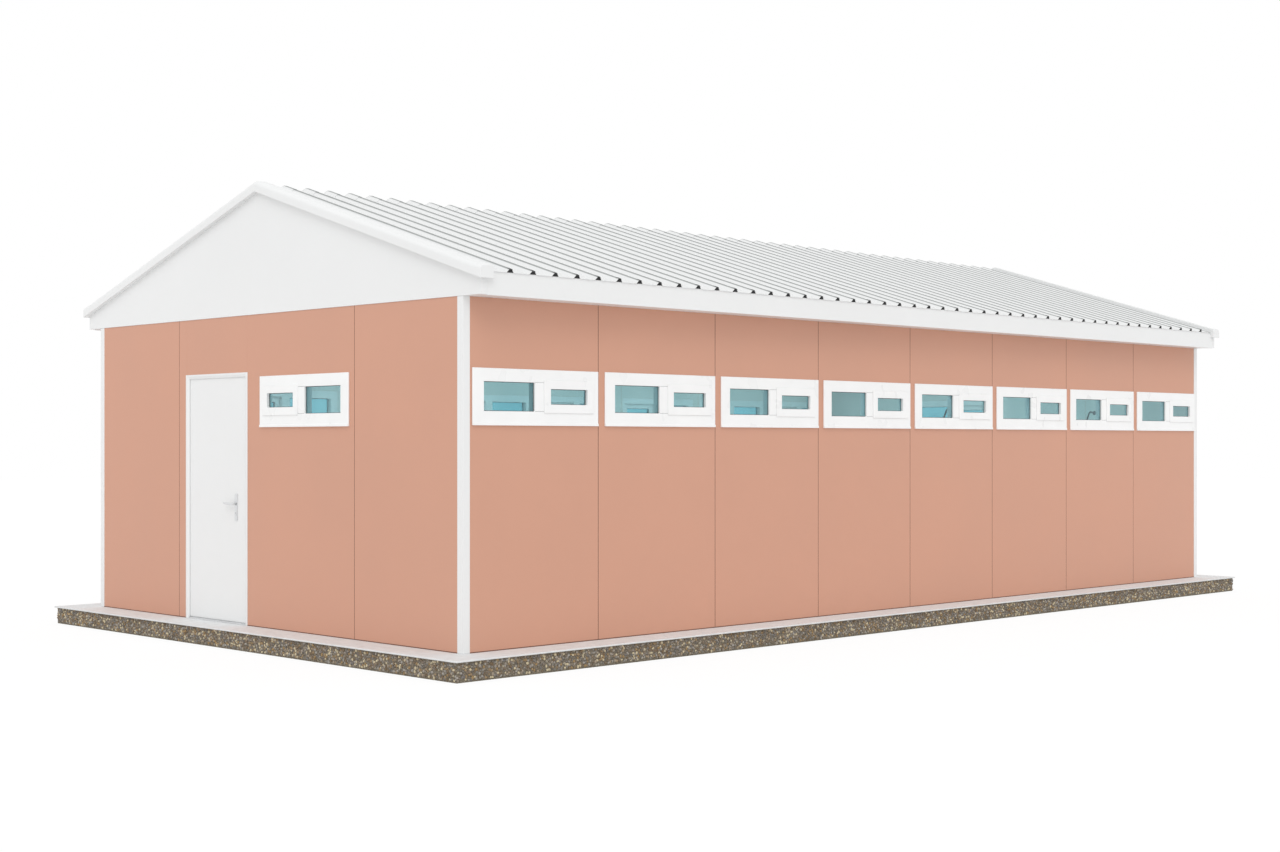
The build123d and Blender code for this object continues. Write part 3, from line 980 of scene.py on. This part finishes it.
def pebble_side(name, start, end, seed):
    """Pebbles on one upright side of the base, between two of its lower corners."""
    bm = bmesh.new()
    foot = UP * PEBBLE_MARGIN
    head = UP * (block_high.z - block_low.z - PEBBLE_MARGIN / 2)
    bm.faces.new([bm.verts.new(spot) for spot in (start + foot, end + foot, end + head, start + head)])
    side = mesh_object(name, bm)
    grow(side, pebbles, {"Seed": seed, "Material": pebble_stone})
    return fix(side, "cabin")


inset_x = block_high.x - PEBBLE_SUNK
inset_y = block_high.y - PEBBLE_SUNK
near_left = Vector((-inset_x, -inset_y, 0.0))
near_right = Vector((inset_x, -inset_y, 0.0))
far_right = Vector((inset_x, inset_y, 0.0))
far_left = Vector((-inset_x, inset_y, 0.0))
pebble_side("front_pebbles", near_left, near_right, 3)
pebble_side("right_pebbles", near_right, far_right, 5)
pebble_side("rear_pebbles", far_right, far_left, 7)
pebble_side("left_pebbles", far_left, near_left, 9)

# %% [markdown]
# ## Roof screws and rib fillers
#
# Sheet roofs are held by rows of hexagon-headed screws with a washer, and foam fillers close the
# ribs at the eaves, a little back from the edge, so that each rib end looks like a dark mouth. Both
# are Geometry Nodes: a bare vertex marks each place, and the tree builds one small shape, tilts it
# with the roof and sets it on every vertex.

# %% Places on the roof
SHEET = 1.5 * MM
RIB_HEIGHT = 27.0 * MM
RIB_COUNT = 47
PURLIN_LINES = [0.1, 0.95, 1.8, 2.6]
SCREW_STEP_FROM_RIB = 48.0 * MM
roof_low, roof_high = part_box("right_roof_sheet")
rib_places = [roof_low.y + FIRST_RIB + RIB_PITCH * rib for rib in range(RIB_COUNT)]


def on_roof(side, y, up_slope, lift):
    """A point on a roof slope: side is 1 on the right and -1 on the left."""
    x = roof_high.x - up_slope * math.cos(ROOF_PITCH)
    z = roof_low.z + SHEET + up_slope * math.sin(ROOF_PITCH)
    return Vector((side * (x + lift * math.sin(ROOF_PITCH)), y, z + lift * math.cos(ROOF_PITCH)))


def marks(name, places):
    """An object with one bare vertex at each place."""
    mesh = bpy.data.meshes.new(name)
    mesh.from_pydata(places, [], [])
    return add_object(name, mesh)


def set_on_marks(tree, inputs, shape):
    """Instances a shape on the incoming vertices, turned by the tree's Tilt."""
    tilt = node_in(tree, "ShaderNodeCombineXYZ", [("Y", inputs.outputs["Tilt"])])
    return node_in(
        tree,
        "GeometryNodeInstanceOnPoints",
        [("Points", inputs.outputs["Geometry"]), ("Instance", shape), ("Rotation", tilt.outputs[0])],
    ).outputs[0]


print("ribs from", round(rib_places[0], 3), "to", round(rib_places[-1], 3))

# %% Screws
HEAD_RADIUS = 5.0 * MM
HEAD_HEIGHT = 5.0 * MM
WASHER_RADIUS = 9.0 * MM
WASHER_HEIGHT = 1.6 * MM


def disc(tree, sides, radius, height, lift):
    """A short upright prism with its foot at a height."""
    body = node_in(
        tree, "GeometryNodeMeshCylinder", [("Vertices", sides), ("Radius", radius), ("Depth", height)]
    )
    lifted = node_in(tree, "GeometryNodeTransform", [("Geometry", body.outputs["Mesh"])])
    lifted.inputs["Translation"].default_value = (0.0, 0.0, lift + height / 2)
    return lifted.outputs[0]


def screw_tree():
    """A hexagon head on a round washer at every mark."""
    tree, inputs, output = start_tree(
        "roof_screws",
        [
            ("Head Radius", "NodeSocketFloat", HEAD_RADIUS),
            ("Washer Radius", "NodeSocketFloat", WASHER_RADIUS),
            ("Tilt", "NodeSocketFloat", 0.0),
            ("Material", "NodeSocketMaterial", None),
        ],
    )
    both = tree.nodes.new("GeometryNodeJoinGeometry")
    tree.links.new(disc(tree, 12, inputs.outputs["Washer Radius"], WASHER_HEIGHT, 0.0), both.inputs[0])
    tree.links.new(disc(tree, 6, inputs.outputs["Head Radius"], HEAD_HEIGHT, WASHER_HEIGHT), both.inputs[0])
    end_tree(tree, output, set_on_marks(tree, inputs, both.outputs[0]), inputs.outputs["Material"])
    return tree


screws = screw_tree()
for side, name in ((1, "right_roof_screws"), (-1, "left_roof_screws")):
    places = [on_roof(side, y + SCREW_STEP_FROM_RIB, line, 0.0) for y in rib_places for line in PURLIN_LINES]
    heads = marks(name, places)
    grow(heads, screws, {"Tilt": side * ROOF_PITCH, "Material": bare_metal})
    fix(heads, "cabin")

# %% Rib fillers
FILLER_LENGTH = 30.0 * MM
FILLER_SETBACK = 12.0 * MM
FILLER_EASE = 1.5 * MM


def filler_tree():
    """A block with a pinched top, the shape of a rib's hollow, at every mark."""
    tree, inputs, output = start_tree(
        "rib_fillers",
        [
            ("Length", "NodeSocketFloat", FILLER_LENGTH),
            ("Base", "NodeSocketFloat", RIB_BASE - 2 * FILLER_EASE),
            ("Height", "NodeSocketFloat", RIB_HEIGHT - FILLER_EASE),
            ("Top Share", "NodeSocketFloat", RIB_TOP / RIB_BASE),
            ("Tilt", "NodeSocketFloat", 0.0),
            ("Material", "NodeSocketMaterial", None),
        ],
    )
    size = node_in(
        tree,
        "ShaderNodeCombineXYZ",
        [("X", inputs.outputs["Length"]), ("Y", inputs.outputs["Base"]), ("Z", inputs.outputs["Height"])],
    )
    block = node_in(tree, "GeometryNodeMeshCube", [("Size", size.outputs[0])])
    spot = tree.nodes.new("GeometryNodeInputPosition")
    parts = node_in(tree, "ShaderNodeSeparateXYZ", [("Vector", spot.outputs[0])])
    upper = node_in(tree, "FunctionNodeCompare", operation="GREATER_THAN")
    tree.links.new(parts.outputs["Z"], upper.inputs[0])
    pinched = node_in(tree, "ShaderNodeMath", operation="MULTIPLY")
    tree.links.new(parts.outputs["Y"], pinched.inputs[0])
    tree.links.new(inputs.outputs["Top Share"], pinched.inputs[1])
    target = node_in(
        tree,
        "ShaderNodeCombineXYZ",
        [("X", parts.outputs["X"]), ("Y", pinched.outputs[0]), ("Z", parts.outputs["Z"])],
    )
    shaped = node_in(
        tree,
        "GeometryNodeSetPosition",
        [
            ("Geometry", block.outputs["Mesh"]),
            ("Selection", upper.outputs[0]),
            ("Position", target.outputs[0]),
        ],
    )
    end_tree(tree, output, set_on_marks(tree, inputs, shaped.outputs[0]), inputs.outputs["Material"])
    return tree


fillers = filler_tree()
for side, name in ((1, "right_rib_fillers"), (-1, "left_rib_fillers")):
    middle = FILLER_SETBACK + FILLER_LENGTH / 2
    places = [on_roof(side, y, middle, (RIB_HEIGHT - FILLER_EASE) / 2 - SHEET) for y in rib_places]
    blocks = marks(name, places)
    grow(blocks, fillers, {"Tilt": side * ROOF_PITCH, "Material": foam_and_keyway_shade})
    fix(blocks, "cabin")

# %% [markdown]
# ## Trim end caps, drip edges and the bead at the foot of the walls
#
# Each verge trim is closed at its foot by a pressed cap. The eaves and gables end in a small folded
# lip that sheds water and catches a bright line of light, and a bead of sealant closes the joint
# between the wall panels and the base, in the dark tone of the seam strips: painted shade along the
# foot of the walls. All are one section carried along an edge, so the prism helper makes them, and
# the boxes of the nodes say where they run.

# %% Trim end caps
CAP_LENGTH = 50.0 * MM
CAP_SHELL = 1.0 * MM
CAP_ROUNDING = 4.0 * MM
TRIM_HEIGHT = 79.5 * MM


def end_cap(bm, low, high, side):
    """A box that follows the roof's slope over the foot of one verge trim."""
    outline = []
    for back in (VERGE_SHORT - CAP_SHELL, VERGE_SHORT + CAP_LENGTH):
        rise = back * math.tan(ROOF_PITCH)
        x = side * (high.x - back)
        pair = [low.z + rise - CAP_SHELL, low.z + rise + TRIM_HEIGHT + VERGE_RISE + CAP_SHELL]
        pair = pair if back < VERGE_SHORT else reversed(pair)
        outline.extend(Vector((x, 0, z)) for z in pair)
    front = low.y - CAP_SHELL - (VERGE_PROUD if low.y < 0 else 0.0)
    back_face = high.y + CAP_SHELL + (VERGE_PROUD if high.y > 0 else 0.0)
    prism(bm, outline, Vector((0, front, 0)), Vector((0, back_face, 0)))


bm = bmesh.new()
for node in ("front_verge_trim", "rear_verge_trim"):
    for side in (-1, 1):
        end_cap(bm, *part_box(node), side)
bmesh.ops.recalc_face_normals(bm, faces=bm.faces)
print("cap edges rounded:", round_outer_top(bm, CAP_LENGTH / 2))
round_edges(bm, CAP_ROUNDING, segments=3)
settle_faces(bm)
fix(object_from("verge_end_caps", bm, white_steel), "cabin")

# %% Drip edges
DRIP_HALF = 4.0 * MM
DRIP_PROUD = 4.0 * MM
DRIP_NODES = {"right_fascia": 0, "left_fascia": 0, "front_gable_panel": 1, "rear_gable_panel": 1}


def run_along(bm, outline, low, high, axis):
    """A closed prism of one section along an axis, from one box face to the other."""
    prism(bm, outline, axis_vector(axis, low[axis]), axis_vector(axis, high[axis]))


def drip_run(bm, low, high, deep):
    """A round-nosed lip along the lower outer edge of an upright box."""
    outward = axis_vector(deep, math.copysign(1.0, low[deep] + high[deep]))
    face = max(abs(low[deep]), abs(high[deep]))
    outline = seam_outline(UP * (low.z + DRIP_HALF), DRIP_HALF, face + DRIP_PROUD, face - MM, UP, outward)
    run_along(bm, outline, low, high, 1 - deep)


bm = bmesh.new()
for node, deep in DRIP_NODES.items():
    low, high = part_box(node)
    drip_run(bm, low, high, deep)
fix(object_from("drip_edges", bm, white_steel), "cabin")

# %% Sealant bead
BEAD = 6.0 * MM
BEAD_HOLLOW = 2.2 * MM
BEAD_BITE = 1.0 * MM
LONG_WALL_REACH = 2.0


def bead_run(bm, low, high):
    """A hollow fillet of sealant where a wall panel's outer face meets the base, coloured with the seams'
    painted shade.
    """
    deep = 0 if high.x - low.x < WALL_LIMIT and abs(low.x + high.x) / 2 > LONG_WALL_REACH else 1
    side = math.copysign(1.0, low[deep] + high[deep])
    face = max(abs(low[deep]), abs(high[deep]))
    section = [
        (-BEAD_BITE, 0.0),
        (BEAD, 0.0),
        (BEAD_HOLLOW, BEAD_HOLLOW),
        (0.0, BEAD),
        (-BEAD_BITE, BEAD),
    ]
    outline = [UP * (low.z + up) + axis_vector(deep, side * (face + out)) for out, up in section]
    run_along(bm, outline, low, high, 1 - deep)


bm = bmesh.new()
foot_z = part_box("plinth_cap")[1].z
for node in WALL_NODES:
    for low, high in solids_of(node):
        if low.z < foot_z + MM:
            bead_run(bm, low, high)
# The bead takes the seams' dark painted shade along the foot of the walls.
fix(object_from("foot_sealant", bm, seam_shade_paint), "cabin")

# %% [markdown]
# ## The door: seal, lock cylinder and lever
#
# A pale rubber seal sits behind the lip of the frame and takes the leaf when it shuts. The plates
# carry a lock cylinder of the usual pear section, and its keyway is a near-black slit standing just
# proud of the face: painted shade where a real keyway is a cut slot. The lever is a casting with a
# round neck that bends into an oval grip, so it is swept: a ring of points at each station along its
# path, with its own height and depth, joined into one smooth skin. It rides on the lever's body.

# %% Door seal
LIP_WIDTH = 44.0 * MM
LIP_HEAD = 35.0 * MM
LIP_THICKNESS = 12.0 * MM
SEAL_WIDTH = 7.0 * MM
SEAL_SHOWS = 1.5 * MM
SEAL_GAP = 0.4 * MM
FOOT_SEAL_INSET = 4.0 * MM
FOOT_SEAL_SECTION = [(3, 1.0), (3, -3.0), (5, -4.4), (9, -4.4), (11, -3.0), (11, 1.0)]
leaf_low, leaf_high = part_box("door_leaf")
frame_low, frame_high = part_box("door_frame")


def seal_strip(bm, start, end, sideways):
    """One run of seal: its section goes sideways under the lip and back towards the leaf."""
    front = frame_low.y + LIP_THICKNESS
    back = leaf_low.y - SEAL_GAP
    section = [
        Vector((0, front, 0)),
        Vector((0, front, 0)) + sideways * SEAL_WIDTH,
        Vector((0, back - MM, 0)) + sideways * SEAL_WIDTH,
        Vector((0, back, 0)) + sideways * SEAL_WIDTH * 0.5,
        Vector((0, back - MM, 0)),
    ]
    prism(bm, section, start, end)


lip_left = frame_low.x + LIP_WIDTH + SEAL_SHOWS
lip_right = frame_high.x - LIP_WIDTH - SEAL_SHOWS
lip_top = frame_high.z - LIP_HEAD - SEAL_SHOWS
bm = bmesh.new()
seal_strip(bm, Vector((lip_left, 0, leaf_low.z)), Vector((lip_left, 0, lip_top)), Vector((-1, 0, 0)))
seal_strip(bm, Vector((lip_right, 0, leaf_low.z)), Vector((lip_right, 0, lip_top)), Vector((1, 0, 0)))
seal_strip(bm, Vector((lip_left, 0, lip_top)), Vector((lip_right, 0, lip_top)), UP)
fix(object_from("door_seal", bm, pale_rubber), "cabin")

bm = bmesh.new()
section = [Vector((0, leaf_low.y + back * MM, leaf_low.z + up * MM)) for back, up in FOOT_SEAL_SECTION]
seal_start = axis_vector(0, leaf_low.x + FOOT_SEAL_INSET)
seal_end = axis_vector(0, leaf_high.x - FOOT_SEAL_INSET)
prism(bm, section, seal_start, seal_end)
fix(object_from("door_foot_seal", bm, pale_rubber), "door")

# %% Lock cylinder
CYLINDER_RADIUS = 8.5 * MM
CYLINDER_FOOT = 5.0 * MM
CYLINDER_DROP = 17.0 * MM
CYLINDER_BELOW_LEVER = 72.0 * MM
CYLINDER_PROUD = 3.0 * MM
KEYWAY_WIDTH = 2.2 * MM
KEYWAY_HEIGHT = 9.0 * MM
KEYWAY_PROUD = 0.2 * MM
CYLINDER_ROUNDING = 0.8 * MM
HEAD_STEPS = 12
FOOT_STEPS = 6
plate_low, plate_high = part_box("door_handle_plates")
lever_low, lever_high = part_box("door_lever")
spindle = Vector(((plate_low.x + plate_high.x) / 2, 0.0, (lever_low.z + lever_high.z) / 2))


def pear_outline(centre):
    """The pear section of a lock cylinder: a round head with a narrow foot."""
    points = []
    for step in range(HEAD_STEPS + 1):
        angle = math.radians(-60 + 300 * step / HEAD_STEPS)
        points.append(centre + Vector((math.cos(angle), 0, math.sin(angle))) * CYLINDER_RADIUS)
    for step in range(FOOT_STEPS + 1):
        angle = math.radians(180 + 180 * step / FOOT_STEPS)
        foot = centre - UP * CYLINDER_DROP
        points.append(foot + Vector((math.cos(angle), 0, math.sin(angle))) * CYLINDER_FOOT)
    return points


bm = bmesh.new()
keyways = bmesh.new()
lock_centre = spindle - UP * CYLINDER_BELOW_LEVER
for face_y, side in ((plate_low.y, -1), (plate_high.y, 1)):
    inner = Vector((0, face_y - side * MM, 0))
    outer = Vector((0, face_y + side * CYLINDER_PROUD, 0))
    prism(bm, pear_outline(lock_centre), inner, outer)
    # The keyway slit is painted shade: a near-black slab just proud of the face, not a cut slot.
    slit = [
        lock_centre + Vector((x * KEYWAY_WIDTH / 2, 0, z * KEYWAY_HEIGHT / 2))
        for x, z in ((-1, -1), (1, -1), (1, 1), (-1, 1))
    ]
    prism(keyways, slit, outer - axis_vector(1, side * MM), outer + axis_vector(1, side * KEYWAY_PROUD))
round_edges(bm, CYLINDER_ROUNDING)
fix(object_from("lock_cylinder", bm, bare_metal), "door")
fix(object_from("lock_keyways", keyways, foam_and_keyway_shade), "door")

# %% Lever
RING_POINTS = 16
NECK_RADIUS = 8.0 * MM
BEND_RADIUS = 15.0 * MM
GRIP_HALF_HEIGHT = 9.5 * MM
GRIP_HALF_DEPTH = 5.5 * MM
GRIP_RISE = 8.0 * MM
BEND_STEPS = 5
NECK_START = 2.0 * MM
GRIP_FULLNESS = [(0.25, 1.0), (0.5, 1.0), (0.75, 0.96), (0.92, 0.9), (0.98, 0.74), (1.0, 0.4)]


def lever_stations(reach, length):
    """(out, along, rise, half height, half depth) at each station of the lever's path."""
    grip_out = reach - GRIP_HALF_DEPTH
    stations = [(NECK_START, 0.0, 0.0, NECK_RADIUS, NECK_RADIUS)]
    for step in range(BEND_STEPS + 1):
        share = step / BEND_STEPS
        angle = share * math.pi / 2
        out = grip_out - BEND_RADIUS + BEND_RADIUS * math.sin(angle)
        along = BEND_RADIUS * (1 - math.cos(angle))
        height = NECK_RADIUS + (GRIP_HALF_HEIGHT - NECK_RADIUS) * share
        depth = NECK_RADIUS + (GRIP_HALF_DEPTH - NECK_RADIUS) * share
        stations.append((out, along, 0.0, height, depth))
    for share, fullness in GRIP_FULLNESS:
        along = BEND_RADIUS + (length - BEND_RADIUS) * share
        rise = GRIP_RISE * share * share
        stations.append(
            (grip_out, along, rise, GRIP_HALF_HEIGHT * fullness, GRIP_HALF_DEPTH * fullness)
        )
    return stations


def sweep_lever(bm, face_y, side, reach, length):
    """One smooth lever on one side of the leaf: side is -1 outside and 1 inside."""
    stations = lever_stations(reach, length)
    rings = []
    for place, (out, along, rise, height, depth) in enumerate(stations):
        before = stations[max(place - 1, 0)]
        after = stations[min(place + 1, len(stations) - 1)]
        heading = Vector((-(after[1] - before[1]), side * (after[0] - before[0]), 0)).normalized()
        across = heading.cross(UP)
        centre = spindle + Vector((-along, face_y + side * out, rise))
        ring_points = []
        for step in range(RING_POINTS):
            angle = math.tau * step / RING_POINTS
            offset = UP * (height * math.sin(angle)) + across * (depth * math.cos(angle))
            ring_points.append(bm.verts.new(centre + offset))
        rings.append(ring_points)
    for first, second in zip(rings, rings[1:]):
        for step in range(RING_POINTS):
            turn = (step + 1) % RING_POINTS
            bm.faces.new((first[step], first[turn], second[turn], second[step]))
    bm.faces.new(rings[0])
    bm.faces.new(rings[-1])


bm = bmesh.new()
grip_length = spindle.x - lever_low.x
sweep_lever(bm, leaf_low.y, -1, leaf_low.y - lever_low.y, grip_length)
sweep_lever(bm, leaf_high.y, 1, lever_high.y - leaf_high.y, grip_length)
for face in bm.faces:
    face.smooth = len(face.verts) == 4
lever = object_from("cast_lever", bm, bare_metal)
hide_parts("door_lever")
fix(lever, "lever")

# %% [markdown]
# ## Light, floor and background
#
# The light is plain and soft: an even white surrounding, a broad sun from behind the camera, and
# lamps under the ceiling, so that the room behind the tinted panes isn't black. The floor and the
# surroundings look white to the camera, to reflections and through glass by their Light Path, so
# no extra light is needed for a white background, and the floor still keeps the cabin's shadow.

# %% Surroundings and floor
SKY_LEVEL = 0.8
SUN_LEVEL = 0.9
ROOM_LEVEL = 105.0
FLOOR_SIZE = 120.0
FLOOR_WHITE_SHARE = 0.85
FLOOR_WHITE = 1.03


def seen_directly(tree):
    """A socket that is 1 for camera, glossy and transmission rays."""
    path = tree.nodes.new("ShaderNodeLightPath")
    total = path.outputs["Is Camera Ray"]
    for label in ("Is Glossy Ray", "Is Transmission Ray"):
        plus = tree.nodes.new("ShaderNodeMath")
        plus.operation = "MAXIMUM"
        tree.links.new(total, plus.inputs[0])
        tree.links.new(path.outputs[label], plus.inputs[1])
        total = plus.outputs[0]
    return total


def join_shaders(tree, share, first, second, output):
    """Mixes two shaders by a share and sends the result to an output's surface."""
    mix = tree.nodes.new("ShaderNodeMixShader")
    for socket, source in zip(mix.inputs, (share, first.outputs[0], second.outputs[0])):
        tree.links.new(source, socket)
    tree.links.new(mix.outputs[0], tree.nodes[output].inputs["Surface"])


def add_surroundings():
    """A white world that lights evenly and looks pure white."""
    world = bpy.data.worlds.new("studio_white")
    bpy.context.scene.world = world
    world.use_nodes = True
    tree = world.node_tree
    light = tree.nodes["Background"]
    light.inputs["Color"].default_value = (1.0, 1.0, 1.0, 1.0)
    light.inputs["Strength"].default_value = SKY_LEVEL
    white = tree.nodes.new("ShaderNodeBackground")
    white.inputs["Strength"].default_value = 1.0
    white.inputs["Color"].default_value = (1.0, 1.0, 1.0, 1.0)
    join_shaders(tree, seen_directly(tree), light, white, "World Output")


def add_floor():
    """A pale floor at the cabin's foot that keeps a soft shadow."""
    bm = bmesh.new()
    bmesh.ops.create_grid(bm, x_segments=1, y_segments=1, size=FLOOR_SIZE / 2)
    material = bpy.data.materials.new("studio_floor")
    material.use_nodes = True
    tree = material.node_tree
    matt = shader_of(material)
    matt.inputs["Base Color"].default_value = (0.9, 0.9, 0.9, 1.0)
    matt.inputs["Roughness"].default_value = 0.9
    matt.inputs["Specular IOR Level"].default_value = 0.0
    glow = tree.nodes.new("ShaderNodeEmission")
    glow.inputs["Strength"].default_value = FLOOR_WHITE
    share = chain(tree, seen_directly(tree), ("MULTIPLY", FLOOR_WHITE_SHARE))
    join_shaders(tree, share, matt, glow, "Material Output")
    floor = mesh_object("floor", bm)
    floor.data.materials.append(material)


add_surroundings()
add_floor()

# %% Lamps
SUN_HEIGHT = math.radians(45)
SUN_BEARING = math.radians(45)
SUN_DISTANCE = 10.0
SUN_SPREAD = math.radians(40)
LAMP_DROP = 30.0 * MM
LAMP_WIDTH_SHARE = 0.8
LAMP_LENGTH_SHARE = 0.9


def add_lamp(name, kind, energy, place, turn):
    """A white lamp that lights but isn't seen itself."""
    lamp = bpy.data.lights.new(name, kind)
    lamp.energy = energy
    obj = add_object(name, lamp)
    obj.matrix_world = Matrix.Translation(place) @ turn
    obj.visible_camera = False
    obj.visible_transmission = False
    obj.visible_glossy = False
    return lamp


towards_sun = Vector(
    (
        math.sin(SUN_BEARING) * math.cos(SUN_HEIGHT),
        -math.cos(SUN_BEARING) * math.cos(SUN_HEIGHT),
        math.sin(SUN_HEIGHT),
    )
)
sun_turn = towards_sun.to_track_quat("Z", "Y").to_matrix().to_4x4()
sun = add_lamp("soft_sun", "SUN", SUN_LEVEL, towards_sun * SUN_DISTANCE, sun_turn)
sun.angle = SUN_SPREAD
ceiling_low, ceiling_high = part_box("ceiling")
room_lamp = add_lamp(
    "room_lamp", "AREA", ROOM_LEVEL, Vector((0, 0, ceiling_low.z - LAMP_DROP)), Matrix.Identity(4)
)
room_lamp.shape = "RECTANGLE"
room_lamp.size = (ceiling_high.x - ceiling_low.x) * LAMP_WIDTH_SHARE
room_lamp.size_y = (ceiling_high.y - ceiling_low.y) * LAMP_LENGTH_SHARE
print("lamps: sun", SUN_LEVEL, "and room", ROOM_LEVEL)

# %% [markdown]
# ## Last steps
#
# The view transform is Standard, so a colour renders as it is written.

# %% Finish
bpy.context.scene.view_settings.view_transform = "Standard"
